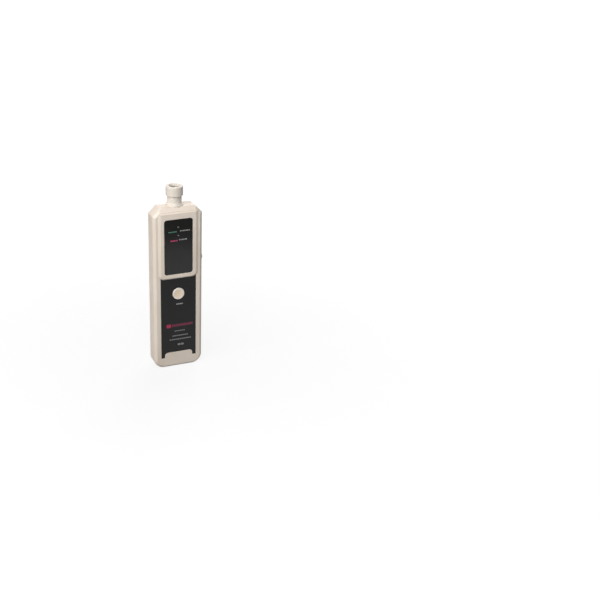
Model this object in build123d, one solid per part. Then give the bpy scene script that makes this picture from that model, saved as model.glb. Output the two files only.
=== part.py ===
from build123d import *
from math import sqrt
import os

# Hand-held ultrasonic leak detector, standing upright on its base.
# Millimetres. Origin at the centre of the base, +Z up, the front faces -Y, +X is to the right of the front.

# Housing: the two moulded shells
body_width = 54.0
body_height = 183.0
back_depth = 11.0
wall = 2.0
top_chamfer = 7.8
bottom_round = 11.0
front_bevel = 2.6
back_bevel_width = 4.0
back_bevel_depth = 5.5
top_slope_depth = 3.1
top_slope_height = 4.2
edge_round = 1.0
groove_width = 0.5
groove_depth = 0.45
lip_height = 1.4
lip_thickness = 0.9
fit_clearance = 0.1
running_clearance = 0.2
cut_overrun = 5.0

# Bezel: the raised frame round the dark window
bezel_rise = 1.3
bezel_side_margin = 5.0
bezel_top_margin = 5.0
bezel_flank = 2.7
bezel_foot_flank = 1.3
bezel_base_corner = 6.6
bezel_rim_corner = 4.6
bezel_edge_round = 0.8
window_side_rail = 3.6
window_top_rail = 7.0
window_bottom_rail = 5.2
window_corner = 3.0
window_pocket = 1.4
window_thickness = 1.0
lamp_drop = 9.0
lamp_spacing = 9.2

# Lower panel: a black plate in a shallow recess, with a notch at its foot
panel_side_margin = 7.2
panel_foot = 17.9
panel_horn_foot = 11.8
panel_horn_width = 4.2
panel_notch_round = 3.6
panel_recess = 0.8
panel_thickness = 0.5

# Push button and its switch
button_on_board = 18.9
button_drop = 17.8
button_radius = 6.45
button_rise = 1.0
button_edge = 0.5
button_dish_radius = 5.2
button_dish_depth = 0.4
button_flange_radius = 7.9
button_flange_thickness = 1.0
button_stem_radius = 2.2
button_stem_length = 0.5
button_travel = 0.6
switch_size = 6.2
plunger_radius = 1.7
plunger_length = 2.4

# Circuit board
board_standoff = 6.6
board_thickness = 1.6
board_side_gap = 2.0
board_foot_gap = 0.9
board_shoulder_drop = 25.0
board_top_drop = 10.0
board_boss_gap = 1.8
post_radius = 2.5
post_pilot_radius = 0.8
post_side_inset = 4.0
post_side_drop = 10.0
post_foot_inset = 5.5
board_screw_radius = 1.0
board_screw_head_radius = 2.0
board_screw_head_height = 1.4
board_screw_depth = 4.5
rib_thickness = 1.2
rib_inset = 2.0
rib_end_shares = (0.2, 0.8)

# Housing screws, driven from the back
screw_low_z = 17.0
screw_top_inset = 8.6
screw_top_drop = 16.0
boss_radius = 3.1
boss_rib_thickness = 1.0
screw_recess_radius = 2.7
screw_seat_y = 3.0
screw_radius = 1.25
screw_hole_radius = 1.4
screw_pilot_radius = 1.0
screw_head_radius = 2.4
screw_head_height = 1.6
screw_length = 9.0
screw_slot_width = 0.7
screw_slot_depth = 0.8

# Sensor neck and cap
flange_radius = 9.4
flange_height = 1.2
neck_radius = 7.55
neck_flare = 0.9
neck_flare_height = 2.4
neck_height = 17.6
neck_bore_radius = 5.2
stem_radius = 6.2
stem_ring_radius = 7.4
stem_ring_height = 1.6
stem_length = 5.5
cap_radius = 9.05
cap_height = 10.1
cap_lip = 2.5
cap_seat_gap = 0.4
cap_mouth_radius = 5.9
cap_edge_round = 1.3
cap_foot_round = 0.4

# Ultrasonic transducer in its rubber sleeve
transducer_radius = 6.0
transducer_height = 10.0
can_wall = 0.4
can_lip = 0.8
sleeve_thickness = 0.75
sleeve_floor = 0.8
mesh_thickness = 0.3
mesh_hole_radius = 0.42
mesh_pitch = 1.15
mesh_rings = 4
mesh_ring_step = 6
base_thickness = 1.5
pin_radius = 0.35
pin_length = 5.0
pin_spacing = 5.0
lead_radius = 0.5
lead_bend = 3.0
lead_on_board = 4.0

# Headphone socket on the right side
jack_height_share = 19 / 30
jack_body_length = 12.0
jack_body_height = 8.0
jack_depth = 5.4
jack_nose_radius = 2.8
jack_bore_radius = 1.8
jack_bore_length = 14.0
jack_proud = 0.3
ferrule_radius = 3.7
ferrule_thickness = 0.5
contact_size = 1.2
contact_length = 1.5

# Battery, its bay and connector
battery_width = 26.5
battery_depth = 17.5
battery_case_height = 46.4
battery_corner = 2.5
battery_bottom = 11.0
terminal_spacing = 12.7
terminal_height = 2.9
stud_radius = 2.9
socket_radius = 4.4
socket_wall = 1.2
snap_thickness = 2.6
snap_width = 25.0
snap_depth = 12.0
snap_contact_height = 2.2
battery_lead_radius = 0.6
battery_lead_x = 6.0
battery_lead_on_board = 8.0
battery_lead_shift = 3.0
battery_side_gap = 0.65
foam_thickness = 1.0
foam_width = 20.0
foam_height = 34.0
bay_wall = 1.5
bay_gap = 0.6
bay_headroom = 2.7
lead_slot_width = 18.0
lead_slot_depth = 5.0

# Battery door, held by two pins at its foot
door_foot_drop = 3.0
door_top_drop = 1.6
door_gap = 0.25
door_thickness = 1.8
door_bead_radius = 1.2
door_pin_radius = 0.6
door_pin_length = 1.2
door_pin_clearance = 0.15
door_corner = 1.5
ledge_width = 1.1
ledge_thickness = 1.2
ledge_start = 6.0
latch_width = 10.0
latch_length = 8.0
latch_slot = 0.7
grip_count = 5
grip_width = 17.0
grip_height = 1.1
grip_pitch = 2.5
grip_depth = 0.6
grip_drop = 12.0

# Parts on the back of the circuit board, placed by shares of its width and of its height below the shoulder
chip_size_x = 7.0
chip_size_z = 10.0
chip_height = 2.2
chip_place_shares = ((-0.22, 0.31), (0.2, 0.44))
chip_leg = 0.6
chip_leg_pitch = 1.9
chip_legs_per_side = 5
capacitor_radius = 3.15
capacitor_height = 6.5
capacitor_groove = 0.3
capacitor_groove_height = 0.9
capacitor_place_shares = ((-0.32, 0.58), (-0.32, 0.16), (0.3, 0.18))
resistor_length = 3.2
resistor_width = 1.6
resistor_height = 0.6
resistor_columns = 3
resistor_rows = 3
resistor_pitch_x = 5.0
resistor_pitch_z = 4.0
resistor_middle_share = 0.71

# Indicator lamps
lamp_radius = 1.5
lamp_length = 5.3
lamp_flange_radius = 1.9
lamp_flange_thickness = 1.0
lamp_proud = 1.0
lamp_hole_clearance = 0.15
lamp_leg = 0.5
lamp_leg_spacing = 2.54

# Places that follow from the sizes above: the depth holds the battery between the door and the foam pad
front_depth = battery_depth + bay_gap / 2 + foam_thickness + door_thickness + wall - back_depth
front_inner_y = -front_depth + wall
back_inner_y = back_depth - wall
bay_height = battery_case_height + terminal_height + snap_thickness + bay_headroom
bay_top = battery_bottom + bay_height
board_bottom = bay_top + bay_wall + board_foot_gap
button_z = board_bottom + button_on_board
panel_top = button_z + button_drop
panel_width = body_width - 2 * panel_side_margin
bezel_base_width = body_width - 2 * bezel_side_margin
bezel_rim_width = bezel_base_width - 2 * bezel_flank
bezel_top = body_height - bezel_top_margin
window_width = bezel_rim_width - 2 * window_side_rail
window_top = bezel_top - window_top_rail
window_bottom = panel_top + window_bottom_rail
lamp_upper_z = window_top - lamp_drop
lamp_lower_z = lamp_upper_z - lamp_spacing
door_width = battery_width + 2 * (battery_side_gap + ledge_width)
door_bottom = battery_bottom - door_foot_drop
door_top = bay_top - door_top_drop
bay_inner_x = door_width / 2 + bay_gap / 2
bay_outer_x = bay_inner_x + bay_wall
screw_low_x = bay_outer_x + boss_radius + fit_clearance
screw_top_x = body_width / 2 - screw_top_inset
screw_top_z = body_height - screw_top_drop
board_front_y = front_inner_y + board_standoff
board_back_y = board_front_y + board_thickness
board_width = body_width - 2 * (wall + board_side_gap)
board_shoulder = body_height - board_shoulder_drop
board_top = body_height - board_top_drop
board_tab_width = 2 * (screw_top_x - boss_radius - board_boss_gap)
post_side_x = board_width / 2 - post_side_inset
post_side_z = board_shoulder - post_side_drop
post_low_z = board_bottom + post_foot_inset
neck_top = body_height + neck_height
stem_bottom = body_height - stem_length
cap_top = neck_top + cap_seat_gap + cap_lip
cap_bottom = cap_top - cap_height
recess_floor_y = -front_depth + panel_recess
panel_face_y = recess_floor_y - panel_thickness
bezel_face_y = -front_depth - bezel_rise
window_floor_y = bezel_face_y + window_pocket
window_face_y = window_floor_y - window_thickness
button_top_y = panel_face_y - button_rise
button_flange_y = front_inner_y + running_clearance
button_stem_end_y = button_flange_y + button_flange_thickness + button_stem_length
transducer_top = neck_top
transducer_bottom = transducer_top - transducer_height
sleeve_bottom = transducer_bottom - sleeve_floor
sleeve_radius = transducer_radius + sleeve_thickness
battery_y = back_depth - door_thickness - bay_gap / 2 - battery_depth / 2
battery_top = battery_bottom + battery_case_height
terminal_top = battery_top + terminal_height
snap_bottom = terminal_top
snap_top = snap_bottom + snap_thickness
hinge_y = back_depth - door_bead_radius
hinge_z = door_bottom + door_gap + door_bead_radius
lamp_base_y = window_face_y - lamp_proud + lamp_length
jack_y = board_front_y - jack_depth / 2
jack_z = board_bottom + jack_height_share * (board_shoulder - board_bottom)


def block(x0, x1, y0, y1, z0, z1):
    """A box between two corners."""
    return Pos((x0 + x1) / 2, (y0 + y1) / 2, (z0 + z1) / 2) * Box(x1 - x0, y1 - y0, z1 - z0)


def rod_x(radius, x0, x1, y, z):
    return Pos((x0 + x1) / 2, y, z) * Rot(0, 90, 0) * Cylinder(radius, x1 - x0)


def rod_y(radius, x, y0, y1, z):
    return Pos(x, (y0 + y1) / 2, z) * Rot(90, 0, 0) * Cylinder(radius, y1 - y0)


def rod_z(radius, x, y, z0, z1):
    return Pos(x, y, (z0 + z1) / 2) * Cylinder(radius, z1 - z0)


def front_outline(inset):
    """The housing seen from the front: cut corners at the top, round ones at the foot."""
    half = body_width / 2 - inset
    top = body_height - inset
    cut = top_chamfer - inset * (2 - sqrt(2))
    shape = make_face(
        Polyline(
            (-half, inset),
            (half, inset),
            (half, top - cut),
            (half - cut, top),
            (-half + cut, top),
            (-half, top - cut),
            close=True,
        )
    )
    return fillet(shape.vertices().group_by(Axis.Y)[0], bottom_round - inset)


def slab(inset, y0, y1):
    """The front outline as a plate from depth y0 to depth y1."""
    return extrude(Plane.XZ.offset(-y1) * front_outline(inset), amount=y1 - y0)


def slope_cut(inset):
    """What is taken off above the slope at the top of the front."""
    slope = Plane(
        origin=(0, -front_depth, body_height - top_slope_height),
        x_dir=(1, 0, 0),
        z_dir=(0, -top_slope_height, top_slope_depth),
    )
    return extrude(slope.offset(-inset) * Rectangle(2 * body_width, body_height), amount=front_depth)


def housing_form(inset):
    """The closed form of the housing, moved inwards by inset on every face."""
    trim = inset * (2 - sqrt(2))
    form = slab(inset, -front_depth + inset, back_depth - inset)
    back_face = form.faces().sort_by(Axis.Y)[-1]
    form = chamfer(back_face.edges(), back_bevel_width - trim, back_bevel_depth - trim, reference=back_face)
    front_face = form.faces().sort_by(Axis.Y)[0]
    form = chamfer(front_face.edges(), front_bevel - trim)
    return form - slope_cut(inset)


def bezel_outline(width, foot, corner, y):
    """The frame's outline at depth y: square at the top, round at the lower corners."""
    shape = Pos(0, (bezel_top + foot) / 2) * Rectangle(width, bezel_top - foot)
    return Plane.XZ.offset(-y) * fillet(shape.vertices().group_by(Axis.Y)[0], corner)


def bezel_form():
    """The raised frame, lofted from its base to its narrower rim, with a soft roll at the rim."""
    base = bezel_outline(bezel_base_width, panel_top, bezel_base_corner, -front_depth)
    rim = bezel_outline(bezel_rim_width, panel_top + bezel_foot_flank, bezel_rim_corner, bezel_face_y)
    frame = loft([base, rim], ruled=True)
    rim_edges = frame.faces().sort_by(Axis.Y)[0].edges().sort_by(Axis.Z)[:-1]
    frame = fillet(rim_edges, bezel_edge_round) - slope_cut(0)
    return frame + extrude(base, amount=-panel_recess)


def window_shape(clearance, depth_from, depth_to):
    """The rounded rectangle of the window, from one depth to another."""
    middle = (window_top + window_bottom) / 2
    shape = Pos(0, middle) * RectangleRounded(
        window_width - 2 * clearance, window_top - window_bottom - 2 * clearance, window_corner - clearance
    )
    return extrude(Plane.XZ.offset(-depth_to) * shape, amount=depth_to - depth_from)


def panel_shape(clearance, depth_from, depth_to):
    """The lower panel with its notched foot, still uncut where it meets the bezel's round corners."""
    half = panel_width / 2 - clearance
    top = panel_top + bezel_base_corner
    notch = panel_width / 2 - panel_horn_width + clearance
    foot = panel_foot + clearance
    horn = panel_horn_foot + clearance
    outer = Polyline((-half, horn), (-half, top), (half, top), (half, horn), (notch, horn))
    inner = FilletPolyline(
        (notch, horn), (notch, foot), (-notch, foot), (-notch, horn), radius=panel_notch_round
    )
    shape = make_face(outer + inner + Line((-notch, horn), (-half, horn)))
    return extrude(Plane.XZ.offset(-depth_to) * shape, amount=depth_to - depth_from)


def housing_screw_places():
    return [
        (sign * x, z)
        for x, z in ((screw_low_x, screw_low_z), (screw_top_x, screw_top_z))
        for sign in (-1, 1)
    ]


def board_post_places():
    return [(-post_side_x, post_side_z), (post_side_x, post_side_z), (0, post_low_z)]


def lamp_places():
    return [("green_lamp", lamp_upper_z), ("red_lamp", lamp_lower_z)]


def neck_boss():
    """A round boss on the top of the housing, under the flange of the neck."""
    return rod_z(flange_radius, 0, 0, body_height - wall, body_height)


def neck_socket():
    """The round wall below the boss, which holds the ring of the neck's stem."""
    wall_ring = rod_z(flange_radius, 0, 0, body_height - wall - stem_ring_height, body_height - wall)
    return wall_ring & housing_form(running_clearance)


def neck_hole():
    """The room for the neck's stem and its ring, open downwards."""
    stem_hole = rod_z(stem_radius + fit_clearance, 0, 0, stem_bottom, body_height + cut_overrun)
    return stem_hole + rod_z(stem_ring_radius + fit_clearance, 0, 0, stem_bottom, body_height - wall)


def parting_groove():
    """The shallow shadow line where the shells meet."""
    half = groove_width / 2
    return slab(-cut_overrun / 2, -half, half) - slab(groove_depth, -half - cut_overrun, half + cut_overrun)


def outer_form():
    form = housing_form(0)
    return fillet(form.edges(), edge_round) + neck_boss()


def lip_ring(thickness, clearance):
    """The lip of the rear shell that enters the front shell, or the rebate for it."""
    inner = wall - thickness
    outer = slab(inner + clearance, -lip_height, 0)
    return outer - slab(wall, -lip_height - cut_overrun, cut_overrun)


def screw_boss(x, z, y0, y1):
    """A boss for a housing screw, with a rib that ties it to the side wall."""
    side_x = body_width / 2 - wall / 2
    rib_x = sorted((x, side_x if x > 0 else -side_x))
    rib = block(*rib_x, y0, y1, z - boss_rib_thickness / 2, z + boss_rib_thickness / 2)
    return (rod_y(boss_radius, x, y0, y1, z) + rib) & housing_form(wall / 2)


def jack_hole():
    """The round hole in the side wall for the nose of the headphone socket."""
    return rod_x(jack_nose_radius + fit_clearance, board_width / 2, body_width, jack_y, jack_z)


def button_hole():
    """The round hole in the front wall and the panel for the push button."""
    return rod_y(button_radius + running_clearance, 0, -front_depth - cut_overrun, front_inner_y, button_z)


def lamp_hole(z):
    """The round hole in the front wall and the window for a lamp."""
    return rod_y(lamp_radius + lamp_hole_clearance, 0, bezel_face_y - cut_overrun, front_inner_y, z)


def make_front_shell(form, bezel):
    half_space = block(-body_width, body_width, -2 * front_depth, 0, -cut_overrun, body_height + cut_overrun)
    shell = (form & half_space) + bezel
    shell -= housing_form(wall)
    shell += neck_socket() & half_space
    shell -= window_shape(0, bezel_face_y - cut_overrun, window_floor_y)
    shell -= panel_shape(0, -front_depth - cut_overrun, recess_floor_y) - bezel
    for x, z in housing_screw_places():
        shell += screw_boss(x, z, front_inner_y - wall / 2, -lip_height - fit_clearance)
        shell += rod_y(boss_radius, x, front_inner_y, 0, z) & housing_form(wall)
        shell -= rod_y(screw_pilot_radius, x, front_inner_y, cut_overrun, z)
    for x, z in board_post_places():
        shell += rod_y(post_radius, x, front_inner_y, board_front_y, z)
        shell -= rod_y(post_pilot_radius, x, front_inner_y, cut_overrun, z)
    shell -= button_hole()
    for _, z in lamp_places():
        shell -= lamp_hole(z)
    shell -= jack_hole() + neck_hole()
    shell -= lip_ring(lip_thickness, -fit_clearance)
    return shell - parting_groove()


def bay_walls():
    """The walls of the battery bay, from the back of the housing to behind the front."""
    front_y = front_inner_y + running_clearance
    foot = battery_bottom - bay_wall
    walls = block(-bay_outer_x, bay_outer_x, front_y, back_inner_y, foot, bay_top + bay_wall)
    walls -= block(-bay_inner_x, bay_inner_x, front_y - cut_overrun, back_depth, battery_bottom, bay_top)
    slot_x = lead_slot_width / 2
    slot_y = board_back_y + lead_slot_depth
    walls -= block(-slot_x, slot_x, front_y - cut_overrun, slot_y, bay_top - bay_wall, bay_top + 2 * bay_wall)
    return walls


def door_ledges():
    """Ledges at the sides of the opening, which the closed door rests on."""
    inner_x = door_width / 2 - ledge_width
    face_y = back_depth - door_thickness
    pair = [
        block(x0, x1, face_y - ledge_thickness, face_y, door_bottom + ledge_start, door_top)
        for x0, x1 in ((-bay_inner_x, -inner_x), (inner_x, bay_inner_x))
    ]
    return pair[0] + pair[1]


def board_ribs():
    """Two upright ribs on the back wall, which stop just behind the circuit board."""
    foot, top = (board_bottom + share * (board_shoulder - board_bottom) for share in rib_end_shares)
    front_y = board_back_y + running_clearance
    half = rib_thickness / 2
    pair = [
        block(x - half, x + half, front_y, back_inner_y, foot, top)
        for x in (-board_width / 2 + rib_inset, board_width / 2 - rib_inset)
    ]
    return pair[0] + pair[1]


def make_rear_shell(form):
    half_space = block(-body_width, body_width, 0, 2 * back_depth, -cut_overrun, body_height + cut_overrun)
    shell = (form & half_space) - housing_form(wall)
    shell += neck_socket() & half_space
    shell -= parting_groove()
    shell += lip_ring(lip_thickness, 0) - rod_z(flange_radius + fit_clearance, 0, 0, stem_bottom, body_height)
    shell -= neck_hole()
    shell += bay_walls() + board_ribs()
    for x, z in housing_screw_places():
        shell += screw_boss(x, z, 0, back_inner_y + wall / 2)
        shell -= rod_y(screw_hole_radius, x, -cut_overrun, back_depth, z)
        shell -= rod_y(screw_recess_radius, x, screw_seat_y, back_depth + cut_overrun, z)
    half_door = door_width / 2
    shell -= block(-half_door, half_door, back_inner_y - wall, 2 * back_depth, door_bottom, door_top)
    shell += door_ledges()
    pin_reach = half_door + door_pin_length + door_pin_clearance
    shell -= rod_x(door_pin_radius + door_pin_clearance, -pin_reach, pin_reach, hinge_y, hinge_z)
    return shell - jack_hole()


def make_battery_door():
    """The door plate with a round hinge bead, two pins, a latch finger and grip grooves."""
    half = door_width / 2 - door_gap
    face_y = back_depth - door_thickness
    plate = block(-half, half, face_y, back_depth, hinge_z, door_top - door_gap)
    corner_edges = plate.edges().filter_by(Axis.Y).group_by(Axis.Z)[-1]
    door = fillet(corner_edges, door_corner) + rod_x(door_bead_radius, -half, half, hinge_y, hinge_z)
    door += rod_x(door_pin_radius, -half - door_pin_length, half + door_pin_length, hinge_y, hinge_z)
    latch_x = latch_width / 2
    slot_foot = door_top - door_gap - latch_length
    for x0, x1 in ((-latch_x - latch_slot, -latch_x), (latch_x, latch_x + latch_slot)):
        door -= block(x0, x1, face_y - cut_overrun, back_depth + cut_overrun, slot_foot, door_top)
    half_grip = grip_width / 2
    for index in range(grip_count):
        top = door_top - grip_drop - index * grip_pitch
        door -= block(-half_grip, half_grip, back_depth - grip_depth, 2 * back_depth, top - grip_height, top)
    return door


def make_display_window():
    plate = window_shape(fit_clearance, window_face_y, window_floor_y)
    for _, z in lamp_places():
        plate -= lamp_hole(z)
    return plate


def make_front_panel(bezel):
    plate = panel_shape(fit_clearance, panel_face_y, recess_floor_y) - Pos(0, 0, -fit_clearance) * bezel
    return plate - button_hole()


def make_test_button():
    """The button with a dished face, a flange behind the panel and a short stem."""
    cap = rod_y(button_radius, 0, button_top_y, button_flange_y, button_z)
    cap = fillet(cap.edges().group_by(Axis.Y)[0], button_edge)
    ball_radius = (button_dish_radius**2 + button_dish_depth**2) / (2 * button_dish_depth)
    cap -= Pos(0, button_top_y + button_dish_depth - ball_radius, button_z) * Sphere(ball_radius)
    flange_end = button_flange_y + button_flange_thickness
    cap += rod_y(button_flange_radius, 0, button_flange_y, flange_end, button_z)
    return cap + rod_y(button_stem_radius, 0, flange_end, button_stem_end_y, button_z)


def make_switch():
    """The switch body on the board and the plunger that the button pushes."""
    half = switch_size / 2
    top_y = button_stem_end_y + plunger_radius / 2
    body = block(-half, half, top_y, board_front_y, button_z - half, button_z + half)
    plunger_end = button_stem_end_y + plunger_length
    hole_end = plunger_end + button_travel + running_clearance
    body -= rod_y(plunger_radius + running_clearance, 0, top_y - cut_overrun, hole_end, button_z)
    plunger = rod_y(plunger_radius, 0, button_stem_end_y, plunger_end, button_z)
    return body, plunger


def make_circuit_board():
    half = board_width / 2
    tab = board_tab_width / 2
    outline = make_face(
        Polyline(
            (-half, board_bottom),
            (half, board_bottom),
            (half, board_shoulder),
            (tab, board_shoulder),
            (tab, board_top),
            (-tab, board_top),
            (-tab, board_shoulder),
            (-half, board_shoulder),
            close=True,
        )
    )
    board = extrude(Plane.XZ.offset(-board_back_y) * outline, amount=board_thickness)
    for x, z in board_post_places():
        board -= rod_y(board_screw_radius + fit_clearance, x, board_front_y, board_back_y, z)
    return board


def make_board_screws():
    screws = []
    for x, z in board_post_places():
        head_end = board_back_y + board_screw_head_height
        head = rod_y(board_screw_head_radius, x, board_back_y, head_end, z)
        head = fillet(head.edges().group_by(Axis.Y)[-1], board_screw_head_height / 2)
        slot = block(
            x - board_screw_head_radius, x + board_screw_head_radius,
            head_end - screw_slot_depth, head_end, z - screw_slot_width / 2, z + screw_slot_width / 2,
        )
        shank = rod_y(post_pilot_radius, x, board_back_y - board_screw_depth, board_back_y, z)
        screws.append(head - slot + shank)
    return Compound(screws)


def make_housing_screws():
    screws = []
    for x, z in housing_screw_places():
        head_end = screw_seat_y + screw_head_height
        head = rod_y(screw_head_radius, x, screw_seat_y, head_end, z)
        head = fillet(head.edges().group_by(Axis.Y)[-1], screw_head_height / 2)
        slot_y = head_end - screw_slot_depth
        for wide, tall in ((screw_head_radius, screw_slot_width), (screw_slot_width, screw_head_radius)):
            head -= block(x - wide / 2, x + wide / 2, slot_y, head_end, z - tall / 2, z + tall / 2)
        shank = rod_y(screw_radius, x, 0, screw_seat_y, z)
        tip = rod_y(screw_pilot_radius, x, screw_seat_y - screw_length, 0, z)
        screws.append(head + shank + tip)
    return Compound(screws)


def make_sensor_neck():
    """A turned tube: seat for the cap, flange on the housing and a stem with a ring below the top wall."""
    seat_top = body_height
    ring_top = body_height - wall
    neck = rod_z(neck_radius, 0, 0, seat_top, neck_top)
    flange_top = seat_top + flange_height
    flare = Cone(neck_radius + neck_flare, neck_radius, neck_flare_height)
    flare = Pos(0, 0, flange_top + neck_flare_height / 2) * flare
    flange = rod_z(flange_radius, 0, 0, seat_top, flange_top)
    flange = fillet(flange.edges().group_by(Axis.Z)[-1], flange_height / 2)
    stem = rod_z(stem_radius, 0, 0, stem_bottom, seat_top)
    ring = rod_z(stem_ring_radius, 0, 0, ring_top - stem_ring_height, ring_top)
    neck = neck + flare + flange + stem + ring
    neck -= rod_z(neck_bore_radius, 0, 0, stem_bottom - cut_overrun, neck_top)
    return neck - rod_z(sleeve_radius + fit_clearance, 0, 0, sleeve_bottom, neck_top + cut_overrun)


def make_sensor_cap():
    """A turned ring that slips over the neck, with a lip round its mouth."""
    cap = rod_z(cap_radius, 0, 0, cap_bottom, cap_top)
    cap = fillet(cap.edges().group_by(Axis.Z)[-1], cap_edge_round)
    cap = fillet(cap.edges().group_by(Axis.Z)[0], cap_foot_round)
    cap -= rod_z(neck_radius + fit_clearance, 0, 0, cap_bottom - cut_overrun, cap_top - cap_lip)
    mouth = rod_z(cap_mouth_radius, 0, 0, cap_bottom, cap_top + cut_overrun)
    bevel = Pos(0, 0, cap_top - cap_foot_round / 2) * Cone(
        cap_mouth_radius, cap_mouth_radius + cap_foot_round, cap_foot_round
    )
    return cap - mouth - bevel


def make_transducer():
    """The can, the perforated front, the base disc and the two pins."""
    inner_radius = transducer_radius - can_wall
    mesh_top = transducer_top - can_wall
    can = rod_z(transducer_radius, 0, 0, transducer_bottom, transducer_top)
    can -= rod_z(inner_radius, 0, 0, transducer_bottom - cut_overrun, mesh_top)
    can -= rod_z(transducer_radius - can_lip, 0, 0, transducer_bottom, transducer_top + cut_overrun)
    mesh = rod_z(inner_radius, 0, 0, mesh_top - mesh_thickness, mesh_top)
    for x, y in mesh_hole_places():
        mesh -= rod_z(mesh_hole_radius, x, y, mesh_top - 2 * mesh_thickness, mesh_top + mesh_thickness)
    base = rod_z(inner_radius, 0, 0, transducer_bottom, transducer_bottom + base_thickness)
    pins = [
        rod_z(pin_radius, sign * pin_spacing / 2, 0, transducer_bottom - pin_length, transducer_bottom)
        for sign in (-1, 1)
    ]
    return can, mesh, base, Compound(pins)


def mesh_hole_places():
    """Rings of holes round a centre hole."""
    places = [(0, 0)]
    for ring in range(1, mesh_rings + 1):
        for spot in PolarLocations(ring * mesh_pitch, ring * mesh_ring_step).locations:
            places.append((spot.position.X, spot.position.Y))
    return places


def make_rubber_sleeve():
    """The cup that holds the transducer, with a round hole in its floor for the pins."""
    sleeve = rod_z(sleeve_radius, 0, 0, sleeve_bottom, transducer_top)
    sleeve -= rod_z(transducer_radius, 0, 0, transducer_bottom, transducer_top + cut_overrun)
    hole_radius = neck_bore_radius - sleeve_thickness
    return sleeve - rod_z(hole_radius, 0, 0, sleeve_bottom - cut_overrun, transducer_top)


def wire_tube(points, radius, bend):
    """A round wire along straight runs joined by arcs."""
    path = FilletPolyline(*points, radius=bend)
    start = Plane(origin=path @ 0, z_dir=path % 0)
    return sweep(start * Circle(radius), path=path)


def make_sensor_leads():
    """Two wires from the pins of the transducer to the back of the circuit board."""
    leads = []
    top = transducer_bottom - pin_length
    board_y = board_back_y + lead_radius
    end = board_top - lead_on_board
    knee = (top + board_top) / 2
    for sign in (-1, 1):
        x = sign * pin_spacing / 2
        points = ((x, 0, top), (x, 0, knee + lead_bend), (x, board_y, knee - lead_bend), (x, board_y, end))
        leads.append(wire_tube(points, lead_radius, lead_bend))
    return Compound(leads)


def make_battery():
    """The block battery, with a stud and a socket on its top."""
    half_x = battery_width / 2
    half_y = battery_depth / 2
    case = block(-half_x, half_x, battery_y - half_y, battery_y + half_y, battery_bottom, battery_top)
    case = fillet(case.edges().filter_by(Axis.Z), battery_corner)
    stud_x = -terminal_spacing / 2
    socket_x = terminal_spacing / 2
    stud = rod_z(stud_radius, stud_x, battery_y, battery_top, terminal_top)
    socket = rod_z(socket_radius, socket_x, battery_y, battery_top, terminal_top)
    socket -= rod_z(socket_radius - socket_wall, socket_x, battery_y, battery_top, terminal_top + cut_overrun)
    return case, Compound([stud, socket])


def make_battery_snap():
    """The connector plate on the battery and its two contacts."""
    plate = Pos(0, battery_y, (snap_bottom + snap_top) / 2) * Box(snap_width, snap_depth, snap_thickness)
    plate = fillet(plate.edges().filter_by(Axis.Z), battery_corner)
    ring_x = -terminal_spacing / 2
    plug_x = terminal_spacing / 2
    foot = snap_bottom - snap_contact_height
    ring = rod_z(stud_radius + running_clearance + socket_wall, ring_x, battery_y, foot, snap_bottom)
    ring -= rod_z(stud_radius + running_clearance, ring_x, battery_y, foot - cut_overrun, snap_bottom)
    plug_radius = socket_radius - socket_wall - running_clearance
    plug = rod_z(plug_radius, plug_x, battery_y, foot, snap_bottom)
    return plate, Compound([ring, plug])


def make_battery_lead(sign):
    """A wire from the connector plate up to the back of the circuit board."""
    x = sign * battery_lead_x
    far_x = sign * (battery_lead_x + battery_lead_shift)
    y = board_back_y + battery_lead_radius
    first_knee = (snap_top + board_bottom) / 2
    second_knee = first_knee + battery_lead_shift
    end = board_bottom + battery_lead_on_board
    points = ((x, y, snap_top), (x, y, first_knee), (far_x, y, second_knee), (far_x, y, end))
    return wire_tube(points, battery_lead_radius, battery_lead_shift / 2)


def make_foam_pad():
    """The pad between the battery and the inside of the front."""
    middle = (battery_bottom + battery_top) / 2
    half_x = foam_width / 2
    half_z = foam_height / 2
    back_y = front_inner_y + foam_thickness
    return block(-half_x, half_x, front_inner_y, back_y, middle - half_z, middle + half_z)


def make_phone_jack():
    """The socket body on the board, with a nose that reaches through the side wall."""
    inner_wall_x = body_width / 2 - wall
    half_height = jack_body_height / 2
    body_end = inner_wall_x - running_clearance
    body = block(
        body_end - jack_body_length, body_end, board_front_y - jack_depth, board_front_y,
        jack_z - half_height, jack_z + half_height,
    )
    nose_end = body_width / 2 + jack_proud
    body += rod_x(jack_nose_radius, body_end, nose_end, jack_y, jack_z)
    body -= rod_x(jack_bore_radius, nose_end - jack_bore_length, nose_end + cut_overrun, jack_y, jack_z)
    ferrule = rod_x(ferrule_radius, body_width / 2, body_width / 2 + ferrule_thickness, jack_y, jack_z)
    ferrule -= rod_x(jack_nose_radius, 0, body_width, jack_y, jack_z)
    contacts = [
        block(
            body_end - jack_body_length - contact_size, body_end - jack_body_length,
            board_front_y - contact_length, board_front_y, z - contact_size / 2, z + contact_size / 2,
        )
        for z in (jack_z - half_height / 2, jack_z, jack_z + half_height / 2)
    ]
    return body, ferrule, Compound(contacts)


def make_lamp(z):
    """A small round lamp with a domed front and a flange at its back."""
    tip_y = lamp_base_y - lamp_length
    dome_y = tip_y + lamp_radius
    lamp = rod_y(lamp_radius, 0, dome_y, lamp_base_y, z) + Pos(0, dome_y, z) * Sphere(lamp_radius)
    return lamp + rod_y(lamp_flange_radius, 0, lamp_base_y - lamp_flange_thickness, lamp_base_y, z)


def make_lamp_legs():
    legs = []
    half = lamp_leg / 2
    for _, z in lamp_places():
        for sign in (-1, 1):
            x = sign * lamp_leg_spacing / 2
            legs.append(block(x - half, x + half, lamp_base_y, board_front_y, z - half, z + half))
    return Compound(legs)


def board_place(place_shares):
    """A place on the board, from shares of its width and of its height below the shoulder."""
    x_share, z_share = place_shares
    return x_share * board_width, board_bottom + z_share * (board_shoulder - board_bottom)


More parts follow.
